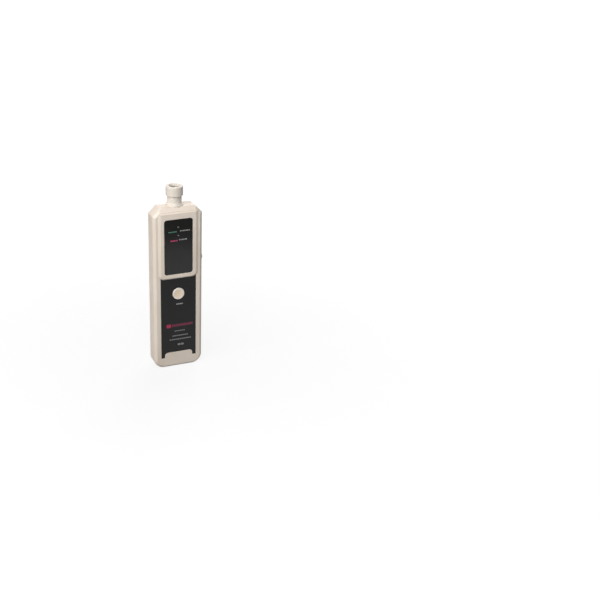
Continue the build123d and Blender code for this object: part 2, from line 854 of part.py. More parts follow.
def make_amplifier_chips():
    chips = []
    half_x = chip_size_x / 2
    half_z = chip_size_z / 2
    half_leg = chip_leg / 2
    reach = half_x + 2 * chip_leg
    body_foot = board_back_y + half_leg
    for x, z in map(board_place, chip_place_shares):
        chip = block(x - half_x, x + half_x, body_foot, body_foot + chip_height, z - half_z, z + half_z)
        for index in range(chip_legs_per_side):
            leg_z = z + (index - (chip_legs_per_side - 1) / 2) * chip_leg_pitch
            leg_top = board_back_y + chip_leg
            chip += block(x - reach, x + reach, board_back_y, leg_top, leg_z - half_leg, leg_z + half_leg)
        chips.append(chip)
    return Compound(chips)


def make_capacitors():
    """Upright cans, each with a shallow groove rolled in near its foot."""
    cans = []
    top_y = board_back_y + capacitor_height
    groove_y = board_back_y + capacitor_groove_height
    for x, z in map(board_place, capacitor_place_shares):
        can = rod_y(capacitor_radius, x, board_back_y, top_y, z)
        ring = rod_y(capacitor_radius + cut_overrun, x, groove_y, groove_y + capacitor_groove, z)
        ring -= rod_y(capacitor_radius - capacitor_groove, x, board_back_y, top_y, z)
        cans.append(can - ring)
    return Compound(cans)


def make_chip_resistors():
    """A field of flat resistors in rows and columns."""
    bodies = []
    half_x = resistor_length / 2
    half_z = resistor_width / 2
    top_y = board_back_y + resistor_height
    _, middle_z = board_place((0, resistor_middle_share))
    for column in range(resistor_columns):
        x = (column - (resistor_columns - 1) / 2) * resistor_pitch_x
        for row in range(resistor_rows):
            z = middle_z + (row - (resistor_rows - 1) / 2) * resistor_pitch_z
            bodies.append(block(x - half_x, x + half_x, board_back_y, top_y, z - half_z, z + half_z))
    return Compound(bodies)


def save(node, shape):
    export_step(shape, f"parts/{node}.step")


def main():
    os.makedirs("parts", exist_ok=True)
    form = outer_form()
    bezel = bezel_form()
    switch_body, switch_plunger = make_switch()
    can, mesh, base, pins = make_transducer()
    battery, terminals = make_battery()
    snap, snap_contacts = make_battery_snap()
    jack, ferrule, jack_contacts = make_phone_jack()
    save("front_shell", make_front_shell(form, bezel))
    save("rear_shell", make_rear_shell(form))
    save("battery_door", make_battery_door())
    save("display_window", make_display_window())
    save("front_panel", make_front_panel(bezel))
    save("test_button", make_test_button())
    save("switch_body", switch_body)
    save("switch_plunger", switch_plunger)
    save("circuit_board", make_circuit_board())
    save("board_screws", make_board_screws())
    save("housing_screws", make_housing_screws())
    save("sensor_neck", make_sensor_neck())
    save("sensor_cap", make_sensor_cap())
    save("transducer_can", can)
    save("transducer_mesh", mesh)
    save("transducer_base", base)
    save("transducer_pins", pins)
    save("rubber_sleeve", make_rubber_sleeve())
    save("sensor_leads", make_sensor_leads())
    save("phone_jack", jack)
    save("jack_ferrule", ferrule)
    save("jack_contacts", jack_contacts)
    save("battery", battery)
    save("battery_terminals", terminals)
    save("battery_snap", snap)
    save("snap_contacts", snap_contacts)
    save("battery_lead_red", make_battery_lead(-1))
    save("battery_lead_black", make_battery_lead(1))
    save("foam_pad", make_foam_pad())
    save("amplifier_chips", make_amplifier_chips())
    save("capacitors", make_capacitors())
    save("chip_resistors", make_chip_resistors())
    save("lamp_legs", make_lamp_legs())
    for name, z in lamp_places():
        save(name, make_lamp(z))


main()
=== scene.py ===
"""Finishes, printed marks and small parts of a hand-held ultrasonic leak detector."""

from functools import cache
from math import cos, pi, radians, sin

import bmesh
import bpy
from bpy.props import FloatProperty, FloatVectorProperty, PointerProperty
from mathutils import Matrix, Vector


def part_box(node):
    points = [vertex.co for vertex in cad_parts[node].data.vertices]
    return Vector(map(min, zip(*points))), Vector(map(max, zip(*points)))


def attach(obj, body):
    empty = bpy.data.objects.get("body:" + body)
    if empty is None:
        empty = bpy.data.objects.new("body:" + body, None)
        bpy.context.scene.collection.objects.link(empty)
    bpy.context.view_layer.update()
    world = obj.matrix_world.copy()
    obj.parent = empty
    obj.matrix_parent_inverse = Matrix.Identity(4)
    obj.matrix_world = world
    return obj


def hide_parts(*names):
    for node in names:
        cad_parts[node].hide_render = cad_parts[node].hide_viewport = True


bl_info = {
    "name": "Leak detector finishes",
    "version": (1, 0, 0),
    "blender": (4, 5, 0),
    "location": "View3D > Sidebar > Detector",
    "description": "Builds the finishes, marks and small parts of a hand-held leak detector",
    "category": "Object",
}

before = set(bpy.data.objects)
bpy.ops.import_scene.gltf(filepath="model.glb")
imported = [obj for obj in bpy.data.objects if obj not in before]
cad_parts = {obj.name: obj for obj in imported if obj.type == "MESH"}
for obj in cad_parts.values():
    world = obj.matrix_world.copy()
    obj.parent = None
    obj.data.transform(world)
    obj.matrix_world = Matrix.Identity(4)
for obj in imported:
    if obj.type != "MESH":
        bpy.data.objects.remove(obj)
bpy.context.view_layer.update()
MM = 0.001


def linear(code):
    """Turns an sRGB hex colour into the linear values that Blender works in."""
    shares = [int(code[start:start + 2], 16) / 255 for start in (1, 3, 5)]
    return tuple(s / 12.92 if s <= 0.04045 else ((s + 0.055) / 1.055) ** 2.4 for s in shares)


def colour(name, text, code):
    """A colour property that a user can change in the sidebar."""
    return FloatVectorProperty(
        name=name, description=text, default=linear(code), subtype="COLOR", min=0, max=1
    )


def length(name, text, millimetres):
    """A length property, shown in the scene's unit."""
    return FloatProperty(
        name=name, description=text, default=millimetres * MM, unit="LENGTH", precision=5
    )


def power(name, text, watts):
    """The power of a lamp as a property."""
    return FloatProperty(name=name, description=text, default=watts, unit="POWER")


class DetectorHousing(bpy.types.PropertyGroup):
    """Colours and grain of the moulded housing and the front."""

    cream: colour("Cream", "Light tone of the moulded ABS housing", "#E7DBCD")
    cream_deep: colour("Cream, deeper", "Darker tone that the moulded ABS drifts to", "#E2D4C5")
    cap: colour("Cap", "Cooler white of the neck and the sensor cap", "#E2DACF")
    button: colour("Button", "Warm white of the polished push button", "#F7EEE2")
    # Painted shade: the darker, yellower middle of the button stands in for the shade in its dish
    button_painted_shade: colour("Button, painted shade", "Yellower tone in the middle of the button", "#F2DFC4")
    window: colour("Window", "Tint of the smoked acrylic window", "#0F0F0E")
    panel: colour("Panel", "Black of the polycarbonate panel", "#0F0F10")
    grain: length("Moulding grain", "Spacing of the spark texture on the mouldings", 0.9)
    film_grain: length("Film grain", "Spacing of the fine grain on the black panel", 0.6)


class DetectorBattery(bpy.types.PropertyGroup):
    """Colours and sizes of the block battery behind the door."""

    jacket: colour("Jacket", "Slate lacquer of the steel jacket", "#26323E")
    band: colour("Band", "Pale grey of the band at the upper end", "#A9ADB0")
    rim: length("Rim", "Height of the rolled rim at each end", 1.0)
    corner: length("Corner", "Radius of the upright edges", 2.5)


class DetectorPrint(bpy.types.PropertyGroup):
    """Colours and sizes of the printed marks."""

    green: colour("Green", "Ink of the upper left row", "#528F78")
    red: colour("Red", "Ink of the lower left row", "#C4466C")
    white: colour("White", "Ink of the right rows", "#ABABAB")
    crimson: colour("Crimson", "Ink of the block before the stripe", "#B03056")
    maroon: colour("Maroon", "Ink of the stripe on the panel", "#7F3049")
    grey: colour("Grey", "Ink of the small rows on the panel", "#8A8A87")
    thickness: length("Ink thickness", "Height of the ink above its surface", 0.02)
    gap: length("Dash gap", "Gap between two dashes of a row", 0.5)


class DetectorStage(bpy.types.PropertyGroup):
    """Camera, floor and light."""

    floor: colour("Floor", "Colour of the plain floor", "#9C9C9C")
    floor_size: length("Floor size", "Side of the floor", 6000)
    lens: FloatProperty(name="Lens", description="Focal length of the camera", default=58.93, unit="CAMERA")
    shift: FloatProperty(name="Shift", description="Sideways shift of the camera", default=0.1867)
    key_power: power("Key", "Power of the soft light at the left", 7.6)
    top_power: power("Top", "Power of the soft light above the front", 2.0)
    back_power: power("Back", "Power of the soft light behind", 10.0)
    sky: FloatProperty(name="Sky", description="Brightness of the even light from all round", default=0.24)


def put(tree, kind, inputs=None, links=None, **fields):
    """Adds a node, sets its fields and constant inputs, and links other nodes' outputs into it."""
    made = tree.nodes.new(kind)
    for field, value in fields.items():
        setattr(made, field, value)
    for socket, value in (inputs or {}).items():
        made.inputs[socket].default_value = value
    for socket, output in (links or {}).items():
        tree.links.new(output, made.inputs[socket])
    return made


# A noise seldom reaches its ends, so a pattern runs between these two levels of it
TONE_LEVELS = (0.35, 0.65)
SHEEN_LEVELS = (0.3, 0.7)

# Sockets of a Mix node: two colours and their mix, or two numbers and theirs
COLOUR_A, COLOUR_B, MIXED_COLOUR = 6, 7, 2
NUMBER_A, NUMBER_B, MIXED_NUMBER = 2, 3, 0


def per_mm(size_mm):
    """The noise scale at which one feature measures size_mm on Object coordinates in metres."""
    return 1 / (size_mm * MM)


def new_material(name, **constants):
    """A material with its shader, whose constant values are set on the shader's own sockets."""
    material = bpy.data.materials.new(name)
    material.use_nodes = True
    tree = material.node_tree
    shader = tree.nodes["Principled BSDF"]
    for socket, value in constants.items():
        shader.inputs[socket.replace("_", " ")].default_value = value
    place = put(tree, "ShaderNodeTexCoord").outputs["Object"]
    return material, tree, shader, place


def drift(tree, shader, place, light, deep, size_mm):
    """Lets the base colour drift slowly between two close tones, and gives that colour."""
    noise = put(tree, "ShaderNodeTexNoise", {"Scale": per_mm(size_mm), "Detail": 3.0}, {"Vector": place})
    ramp = put(tree, "ShaderNodeValToRGB", links={"Fac": noise.outputs["Fac"]})
    for stop, level, tone in zip(ramp.color_ramp.elements, TONE_LEVELS, (deep, light)):
        stop.position = level
        stop.color = (*tone, 1)
    tree.links.new(ramp.outputs["Color"], shader.inputs["Base Color"])
    return ramp.outputs["Color"]


def roughen(tree, shader, place, low, high, size_mm):
    """Varies the roughness between two values, in patches of size_mm."""
    least, most = SHEEN_LEVELS
    noise = put(tree, "ShaderNodeTexNoise", {"Scale": per_mm(size_mm), "Detail": 4.0}, {"Vector": place})
    spread = put(
        tree, "ShaderNodeMapRange", {"From Min": least, "From Max": most, "To Min": low, "To Max": high},
        {"Value": noise.outputs["Fac"]},
    )
    tree.links.new(spread.outputs["Result"], shader.inputs["Roughness"])


def grain(tree, shader, place, size_mm, height_mm, edge_mm=0.0):
    """Raises a fine grain on the surface, over edges that are softened by edge_mm."""
    noise = put(
        tree, "ShaderNodeTexNoise", {"Scale": per_mm(size_mm), "Detail": 2.0, "Roughness": 0.6},
        {"Vector": place},
    )
    bump = put(tree, "ShaderNodeBump", {"Distance": height_mm * MM}, {"Height": noise.outputs["Fac"]})
    if edge_mm:
        soft = put(tree, "ShaderNodeBevel", {"Radius": edge_mm * MM}, samples=6)
        tree.links.new(soft.outputs["Normal"], bump.inputs["Normal"])
    tree.links.new(bump.outputs["Normal"], shader.inputs["Normal"])


def cream_abs(name, light, deep):
    # ABS moulded in a spark-eroded tool: a warm white with a fine dry grain and a soft, broad sheen.
    # Real grit is about 0.1 mm, too fine to show, so the grain is drawn coarser
    look = bpy.context.scene.detector_housing
    material, tree, shader, place = new_material(name, IOR=1.54)
    drift(tree, shader, place, light, deep, 30)
    roughen(tree, shader, place, 0.5, 0.62, 6)
    grain(tree, shader, place, look.grain / MM, 0.14, edge_mm=0.3)
    return material


def button_abs():
    # ABS moulded in a polished tool: smoother and with a closer sheen. Its middle is painted darker
    #     # and yellower as shade in the dish, which leaves the rim paler as a painted highlight
    look = bpy.context.scene.detector_housing
    material, tree, shader, place = new_material("polished_cream_abs", IOR=1.54)
    rim_tone = drift(tree, shader, place, look.button, linear("#F1E8DB"), 8)
    low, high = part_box("test_button")
    middle = ((low.x + high.x) / 2, low.y, (low.z + high.z) / 2)
    away = put(tree, "ShaderNodeVectorMath", {1: middle}, {0: place}, operation="DISTANCE")
    shade_radius, highlight_radius = 3.6 * MM, 5.6 * MM
    reach = put(
        tree, "ShaderNodeMapRange", {"From Min": shade_radius, "From Max": highlight_radius},
        {"Value": away.outputs["Value"]}, interpolation_type="SMOOTHSTEP",
    )
    # Painted shade in the middle of the dish, fading out to the paler rim, which reads as a painted
    # highlight
    dish_shade = put(
        tree, "ShaderNodeMix", {COLOUR_A: (*look.button_painted_shade, 1)},
        {"Factor": reach.outputs["Result"], COLOUR_B: rim_tone}, data_type="RGBA",
    )
    tree.links.new(dish_shade.outputs[MIXED_COLOUR], shader.inputs["Base Color"])
    roughen(tree, shader, place, 0.34, 0.42, 3)
    grain(tree, shader, place, 0.5, 0.006, edge_mm=0.2)
    return material


def smoked_acrylic():
    # Cast acrylic with a deep smoke tint: near black, with a clear gloss and a faint waviness
    look = bpy.context.scene.detector_housing
    material, tree, shader, place = new_material("smoked_acrylic", IOR=1.52)
    drift(tree, shader, place, look.window, linear("#11110F"), 20)
    roughen(tree, shader, place, 0.14, 0.2, 12)
    grain(tree, shader, place, 9.0, 0.01, edge_mm=0.15)
    return material


def black_polycarbonate():
    # Polycarbonate film with a velvet texture: black, with a broad grey sheen.
    # The real grain is about 0.05 mm, too fine to show, so it is drawn coarser too
    look = bpy.context.scene.detector_housing
    material, tree, shader, place = new_material(
        "velvet_polycarbonate", IOR=1.46, Specular_IOR_Level=0.4
    )
    drift(tree, shader, place, look.panel, linear("#131314"), 15)
    roughen(tree, shader, place, 0.36, 0.46, 5)
    grain(tree, shader, place, look.film_grain / MM, 0.03, edge_mm=0.12)
    return material


@cache
def black_moulding():
    # Glass-filled nylon, moulded: a dull black with a slightly uneven sheen
    material, tree, shader, place = new_material("moulded_black_nylon", IOR=1.53)
    drift(tree, shader, place, linear("#1E1E1F"), linear("#2A2A2B"), 2)
    roughen(tree, shader, place, 0.42, 0.6, 1.5)
    grain(tree, shader, place, 0.35, 0.012, edge_mm=0.15)
    return material


def lamp_epoxy(name, light, deep):
    # Cast epoxy of an unlit lamp: glassy, slightly milky, with a faint tint
    material, tree, shader, place = new_material(
        name, IOR=1.52, Transmission_Weight=0.2, Coat_Weight=0.3
    )
    drift(tree, shader, place, linear(light), linear(deep), 1.2)
    roughen(tree, shader, place, 0.08, 0.14, 1)
    return material


def board_laminate():
    # Glass laminate under green solder mask: a deep glossy green, with its 1 mm weave showing through
    material, tree, shader, place = new_material(
        "solder_mask_laminate", IOR=1.5, Coat_Weight=0.5, Coat_Roughness=0.15
    )
    drift(tree, shader, place, linear("#1C6B3A"), linear("#155630"), 4)
    roughen(tree, shader, place, 0.3, 0.4, 3)
    weave = put(tree, "ShaderNodeTexBrick", {"Scale": per_mm(1.0), "Mortar Size": 0.08}, {"Vector": place})
    bump = put(tree, "ShaderNodeBump", {"Distance": 0.01 * MM}, {"Height": weave.outputs["Fac"]})
    tree.links.new(bump.outputs["Normal"], shader.inputs["Normal"])
    return material


def satin_aluminium():
    # Drawn and blasted aluminium: a soft grey metal with no direction
    material, tree, shader, place = new_material("blasted_aluminium", Metallic=1.0)
    drift(tree, shader, place, linear("#D9D7D3"), linear("#CCCAC6"), 2)
    roughen(tree, shader, place, 0.32, 0.44, 0.8)
    grain(tree, shader, place, 0.18, 0.008, edge_mm=0.08)
    return material


@cache
def nickel_plate():
    # Bright nickel over brass: a warm, sharp metal with faint rub marks
    material, tree, shader, place = new_material("bright_nickel", Metallic=1.0)
    drift(tree, shader, place, linear("#D8D3C8"), linear("#CBC5B8"), 1.5)
    roughen(tree, shader, place, 0.14, 0.26, 0.7)
    grain(tree, shader, place, 0.6, 0.004, edge_mm=0.08)
    return material


def zinc_steel():
    # Zinc plate on a cold-headed steel screw: bluish grey, slightly cloudy
    material, tree, shader, place = new_material("zinc_plated_steel", Metallic=1.0)
    drift(tree, shader, place, linear("#B9BCC0"), linear("#A3A7AB"), 1.0)
    roughen(tree, shader, place, 0.24, 0.4, 0.6)
    grain(tree, shader, place, 0.3, 0.006, edge_mm=0.08)
    return material


def soft_rubber():
    # Moulded silicone rubber: matt black with a dusty sheen
    material, tree, shader, place = new_material(
        "silicone_rubber", IOR=1.42, Sheen_Weight=0.25, Sheen_Roughness=0.5
    )
    drift(tree, shader, place, linear("#232323"), linear("#2B2B2B"), 3)
    roughen(tree, shader, place, 0.6, 0.75, 1.5)
    grain(tree, shader, place, 0.4, 0.015)
    return material


def foam():
    # Open-cell polyurethane foam: charcoal, with pores about half a millimetre across
    material, tree, shader, place = new_material("open_cell_foam", IOR=1.45)
    drift(tree, shader, place, linear("#46464A"), linear("#38383B"), 3)
    roughen(tree, shader, place, 0.85, 0.98, 1)
    cells = put(tree, "ShaderNodeTexVoronoi", {"Scale": per_mm(0.5)}, {"Vector": place})
    bump = put(tree, "ShaderNodeBump", {"Distance": 0.15 * MM}, {"Height": cells.outputs["Distance"]})
    tree.links.new(bump.outputs["Normal"], shader.inputs["Normal"])
    return material


def wire_sleeve(name, light, deep):
    # Extruded PVC sleeve of a wire: an even colour with a soft gloss
    material, tree, shader, place = new_material(name, IOR=1.53)
    drift(tree, shader, place, linear(light), linear(deep), 4)
    roughen(tree, shader, place, 0.34, 0.46, 1)
    grain(tree, shader, place, 0.5, 0.008)
    return material


def battery_jacket():
    # Lacquered steel jacket, rolled at its ends: slate and faintly metallic, with a plain pale band
    look = bpy.context.scene.detector_battery
    material, tree, shader, place = new_material(
        "lacquered_steel_jacket", IOR=1.5, Metallic=0.35, Coat_Weight=0.5
    )
    low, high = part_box("battery")
    band_share = 0.24
    band_foot = high.z - band_share * (high.z - low.z)
    height = put(tree, "ShaderNodeSeparateXYZ", links={"Vector": place}).outputs["Z"]
    above = put(tree, "ShaderNodeMath", {1: band_foot}, {0: height}, operation="GREATER_THAN")
    noise = put(tree, "ShaderNodeTexNoise", {"Scale": per_mm(5), "Detail": 3.0}, {"Vector": place})
    lacquer = put(
        tree, "ShaderNodeMix", {COLOUR_A: (*look.jacket, 1), COLOUR_B: (*linear("#2D3A47"), 1)},
        {"Factor": noise.outputs["Fac"]}, data_type="RGBA",
    )
    banded = put(
        tree, "ShaderNodeMix", {COLOUR_B: (*look.band, 1)},
        {"Factor": above.outputs[0], COLOUR_A: lacquer.outputs[MIXED_COLOUR]}, data_type="RGBA",
    )
    tree.links.new(banded.outputs[MIXED_COLOUR], shader.inputs["Base Color"])
    roughen(tree, shader, place, 0.28, 0.4, 2)
    grain(tree, shader, place, 1.2, 0.01, edge_mm=0.3)
    return material


def capacitor_sleeve():
    # Shrunk sleeve of a capacitor: dark blue film with a soft gloss
    material, tree, shader, place = new_material("shrunk_blue_sleeve", IOR=1.5)
    drift(tree, shader, place, linear("#1E2A4A"), linear("#26345A"), 2)
    roughen(tree, shader, place, 0.28, 0.4, 1)
    grain(tree, shader, place, 0.6, 0.01, edge_mm=0.15)
    return material


def ink(name, tone):
    # Screen-printed ink: a thin opaque film that is dry and a little uneven at fibre scale
    material, tree, shader, place = new_material(name, IOR=1.48)
    thin_share = 0.85
    drift(tree, shader, place, tone, tuple(thin_share * level for level in tone), 0.8)
    roughen(tree, shader, place, 0.5, 0.65, 0.5)
    grain(tree, shader, place, 0.2, 0.004)
    return material


def coat(material, *names):
    """Gives carried-over nodes their material."""
    for name in names:
        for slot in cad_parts[name].material_slots:
            slot.material = material


class DETECTOR_OT_housing(bpy.types.Operator):
    """Finish the shells, the door, the neck, the cap and the push button"""

    bl_idname = "detector.housing"
    bl_label = "Housing"

    def execute(self, context):
        look = context.scene.detector_housing
        body = cream_abs("moulded_cream_abs", look.cream, look.cream_deep)
        coat(body, "front_shell", "rear_shell", "battery_door")
        coat(cream_abs("moulded_white_abs", look.cap, linear("#DDD4C8")), "sensor_neck", "sensor_cap")
        coat(button_abs(), "test_button")
        coat(zinc_steel(), "housing_screws", "board_screws")
        return {"FINISHED"}


class DETECTOR_OT_front(bpy.types.Operator):
    """Finish the window, the panel and the two lamps"""

    bl_idname = "detector.front"
    bl_label = "Front"

    def execute(self, context):
        coat(smoked_acrylic(), "display_window")
        coat(black_polycarbonate(), "front_panel")
        coat(lamp_epoxy("epoxy_green_tint", "#272C28", "#1F2420"), "green_lamp")
        coat(lamp_epoxy("epoxy_red_tint", "#2E2728", "#251F20"), "red_lamp")
        return {"FINISHED"}


class DETECTOR_OT_sensor(bpy.types.Operator):
    """Finish the transducer, its rubber sleeve and its wires"""

    bl_idname = "detector.sensor"
    bl_label = "Sensor"

    def execute(self, context):
        coat(satin_aluminium(), "transducer_can", "transducer_mesh")
        coat(soft_rubber(), "rubber_sleeve")
        coat(black_moulding(), "transducer_base")
        coat(nickel_plate(), "transducer_pins")
        coat(wire_sleeve("pvc_sleeve_grey", "#2A2A2B", "#333334"), "sensor_leads")
        return {"FINISHED"}


class DETECTOR_OT_electronics(bpy.types.Operator):
    """Finish the circuit board and everything on it"""

    bl_idname = "detector.electronics"
    bl_label = "Electronics"

    def execute(self, context):
        coat(board_laminate(), "circuit_board")
        coat(black_moulding(), "amplifier_chips", "chip_resistors", "phone_jack")
        coat(black_moulding(), "switch_body", "switch_plunger")
        coat(capacitor_sleeve(), "capacitors")
        coat(nickel_plate(), "jack_ferrule", "jack_contacts", "lamp_legs")
        return {"FINISHED"}


def rounded_ring(half_x, half_y, corner, height, steps=7):
    """The corner points of a rounded rectangle at a height, counted anticlockwise from above."""
    ring = []
    for turn, (sign_x, sign_y) in enumerate(((1, 1), (-1, 1), (-1, -1), (1, -1))):
        for step in range(steps + 1):
            angle = pi / 2 * (turn + step / steps)
            x = sign_x * (half_x - corner) + corner * cos(angle)
            y = sign_y * (half_y - corner) + corner * sin(angle)
            ring.append((x, y, height))
    return ring


def stacked(name, rings, centre):
    """A closed mesh through rings of points, from the lowest to the highest."""
    form = bmesh.new()
    rows = [[form.verts.new(Vector(point) + centre) for point in ring] for ring in rings]
    form.faces.new(list(reversed(rows[0])))
    form.faces.new(rows[-1])
    for lower, upper in zip(rows, rows[1:]):
        for at in range(len(lower)):
            after = (at + 1) % len(lower)
            form.faces.new((lower[at], lower[after], upper[after], upper[at]))
    mesh = bpy.data.meshes.new(name)
    form.to_mesh(mesh)
    form.free()
    mesh.shade_smooth()
    crease_angle = radians(40)
    mesh.set_sharp_from_angle(angle=crease_angle)
    return mesh


# Lower end of the battery's profile, from the plate to the plain jacket: height as a share of the rim,
# and inset in millimetres
CRIMP = (
    (0.45, 1.15), (0.0, 1.0), (0.0, 0.6), (0.15, 0.22),
    (0.5, 0.02), (0.95, 0.02), (1.3, 0.24), (1.8, 0.12),
)


class DETECTOR_OT_battery(bpy.types.Operator):
    """Build the block battery with rolled rims and finish what touches it"""

    bl_idname = "detector.battery"
    bl_label = "Battery"

    def execute(self, context):
        look = context.scene.detector_battery
        low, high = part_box("battery")
        half = (high - low) / 2
        foot = Vector((low.x + half.x, low.y + half.y, low.z))
        tall = high.z - low.z
        profile = [(height * look.rim, inset * MM) for height, inset in CRIMP]
        profile += [(tall - height, inset) for height, inset in reversed(profile)]
        rings = [
            rounded_ring(half.x - inset, half.y - inset, look.corner - inset, height)
            for height, inset in profile
        ]
        mesh = stacked("block_battery", rings, foot)
        mesh.materials.append(battery_jacket())
        mesh.materials.append(black_moulding())
        plate_inset = 0.9 * MM
        for face in mesh.polygons:
            middle = face.center - foot
            if abs(middle.x) < half.x - plate_inset and abs(middle.y) < half.y - plate_inset:
                face.material_index = 1
        piece = show("block_battery", mesh)
        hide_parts("battery")
        coat(nickel_plate(), "battery_terminals", "snap_contacts")
        coat(black_moulding(), "battery_snap")
        coat(wire_sleeve("pvc_sleeve_red", "#B5231F", "#A01E1B"), "battery_lead_red")
        coat(wire_sleeve("pvc_sleeve_black", "#1C1C1C", "#252525"), "battery_lead_black")
        coat(foam(), "foam_pad")
        return {"FINISHED"}


def row_tree():
    """Geometry nodes that print a row of rounded dashes, centred on the X axis and facing up."""
    tree = bpy.data.node_groups.new("printed_row", "GeometryNodeTree")
    sockets = tree.interface
    sockets.new_socket("Geometry", in_out="INPUT", socket_type="NodeSocketGeometry")
    for name in ("Length", "Height", "Corner", "Gap", "Thickness"):
        sockets.new_socket(name, in_out="INPUT", socket_type="NodeSocketFloat")
    sockets.new_socket("Count", in_out="INPUT", socket_type="NodeSocketInt")
    sockets.new_socket("Ink", in_out="INPUT", socket_type="NodeSocketMaterial")
    sockets.new_socket("Geometry", in_out="OUTPUT", socket_type="NodeSocketGeometry")
    given = put(tree, "NodeGroupInput").outputs
    whole = put(tree, "ShaderNodeMath", links={0: given["Length"], 1: given["Gap"]}, operation="ADD")
    pitch = put(tree, "ShaderNodeMath", links={0: whole.outputs[0], 1: given["Count"]}, operation="DIVIDE")
    width = put(tree, "ShaderNodeMath", links={0: pitch.outputs[0], 1: given["Gap"]}, operation="SUBTRACT")
    square = put(
        tree, "GeometryNodeCurvePrimitiveQuadrilateral",
        links={"Width": width.outputs[0], "Height": given["Height"]},
    )
    dash = put(
        tree, "GeometryNodeFilletCurve", {"Count": 5, "Limit Radius": True},
        {"Curve": square.outputs["Curve"], "Radius": given["Corner"]}, mode="POLY",
    )
    flat = put(tree, "GeometryNodeFillCurve", links={"Curve": dash.outputs["Curve"]}, mode="NGONS")
    raised = put(
        tree, "GeometryNodeExtrudeMesh", {"Individual": False},
        {"Mesh": flat.outputs["Mesh"], "Offset Scale": given["Thickness"]},
    )
    foot = put(tree, "GeometryNodeFlipFaces", links={"Mesh": flat.outputs["Mesh"]})
    joined = put(tree, "GeometryNodeJoinGeometry")
    tree.links.new(raised.outputs["Mesh"], joined.inputs[0])
    tree.links.new(foot.outputs["Mesh"], joined.inputs[0])
    weld = 0.001 * MM
    body = put(tree, "GeometryNodeMergeByDistance", {"Distance": weld}, {"Geometry": joined.outputs[0]})
    half = put(tree, "ShaderNodeMath", {1: 0.5}, {0: width.outputs[0]}, operation="MULTIPLY")
    left = put(tree, "ShaderNodeMath", {1: -0.5}, {0: given["Length"]}, operation="MULTIPLY")
    first = put(tree, "ShaderNodeMath", links={0: left.outputs[0], 1: half.outputs[0]}, operation="ADD")
    start = put(tree, "ShaderNodeCombineXYZ", links={"X": first.outputs[0]})
    step = put(tree, "ShaderNodeCombineXYZ", links={"X": pitch.outputs[0]})
    line = put(
        tree, "GeometryNodeMeshLine",
        links={"Count": given["Count"], "Start Location": start.outputs[0], "Offset": step.outputs[0]},
        mode="OFFSET",
    )
    row = put(
        tree, "GeometryNodeInstanceOnPoints",
        links={"Points": line.outputs["Mesh"], "Instance": body.outputs[0]},
    )
    real = put(tree, "GeometryNodeRealizeInstances", links={"Geometry": row.outputs["Instances"]})
    inked = put(
        tree, "GeometryNodeSetMaterial",
        links={"Geometry": real.outputs["Geometry"], "Material": given["Ink"]},
    )
    put(tree, "NodeGroupOutput", links={"Geometry": inked.outputs["Geometry"]})
    return tree


def grown(name, tree, values):
    """Runs a tree of geometry nodes on an empty mesh and keeps the result as a plain mesh."""
    seed = bpy.data.objects.new(name + "_seed", bpy.data.meshes.new(name + "_seed"))
    bpy.context.scene.collection.objects.link(seed)
    modifier = seed.modifiers.new("nodes", "NODES")
    modifier.node_group = tree
    for item in tree.interface.items_tree:
        if item.in_out == "INPUT" and item.name in values:
            modifier[item.identifier] = values[item.name]
    evaluated = seed.evaluated_get(bpy.context.evaluated_depsgraph_get())
    result = bpy.data.meshes.new_from_object(evaluated)
    result.name = name
    bpy.data.objects.remove(seed)
    return result


def show(name, mesh):
    """Puts a finished mesh in the scene, on the housing."""
    piece = bpy.data.objects.new(name, mesh)
    bpy.context.scene.collection.objects.link(piece)
    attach(piece, "housing")
    return piece


# Turns a flat row that faces up to the front
FACING_FRONT = Matrix.Rotation(pi / 2, 4, "X")

# Corner radius of a dash, as a share of its height
CORNER_SHARE = 0.28

# Rows of print: name, ink, what carries it, place to the right of the carrier's middle and below its upper
# edge, length and height, all in millimetres, and number of dashes
FRONT_ROWS = (
    ("upper_left_row", "green", "display_window", -6.4, 13.5, 9.0, 1.3, 6),
    ("upper_right_row", "white", "display_window", 7.0, 13.1, 10.4, 1.3, 7),
    ("lower_left_row", "red", "display_window", -4.9, 23.3, 7.6, 1.6, 4),
    ("lower_right_row", "white", "display_window", 5.0, 22.7, 8.6, 1.4, 6),
    ("button_row", "white", "front_panel", 1.3, 31.5, 7.2, 1.4, 4),
    ("stripe_start", "crimson", "front_panel", -11.0, 56.5, 5.2, 4.2, 1),
    ("stripe", "maroon", "front_panel", 4.4, 56.5, 23.2, 3.2, 11),
    ("short_row", "grey", "front_panel", 1.3, 63.3, 11.6, 1.1, 6),
    ("middle_row", "grey", "front_panel", 1.9, 68.9, 17.6, 1.3, 8),
    ("long_row", "grey", "front_panel", 2.0, 73.3, 24.4, 1.3, 11),
    ("foot_pair", "grey", "front_panel", 2.4, 79.8, 7.0, 2.2, 2),
)


def print_row(tree, name, tone, wide, tall, count, place):
    """One row of dashes in an ink, put on its surface by a matrix."""
    look = bpy.context.scene.detector_print
    values = {
        "Length": wide, "Height": tall, "Corner": CORNER_SHARE * tall, "Gap": look.gap,
        "Thickness": look.thickness, "Count": count, "Ink": tone,
    }
    mesh = grown(name, tree, values)
    mesh.transform(place)
    return mesh


class DETECTOR_OT_print(bpy.types.Operator):
    """Print the plain rows on the window and the panel"""

    bl_idname = "detector.print"
    bl_label = "Printed rows"

    def execute(self, context):
        look = context.scene.detector_print
        names = sorted({row[1] for row in FRONT_ROWS})
        tones = {name: ink("ink_" + name, getattr(look, name)) for name in names}
        tree = row_tree()
        for name, tone, carrier, right, down, wide, tall, count in FRONT_ROWS:
            low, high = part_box(carrier)
            middle = (low.x + high.x) / 2
            spot = Matrix.Translation((middle + right * MM, low.y, high.z - down * MM)) @ FACING_FRONT
            mesh = print_row(tree, name, tones[tone], wide * MM, tall * MM, count, spot)
            show(name, mesh)
        return {"FINISHED"}


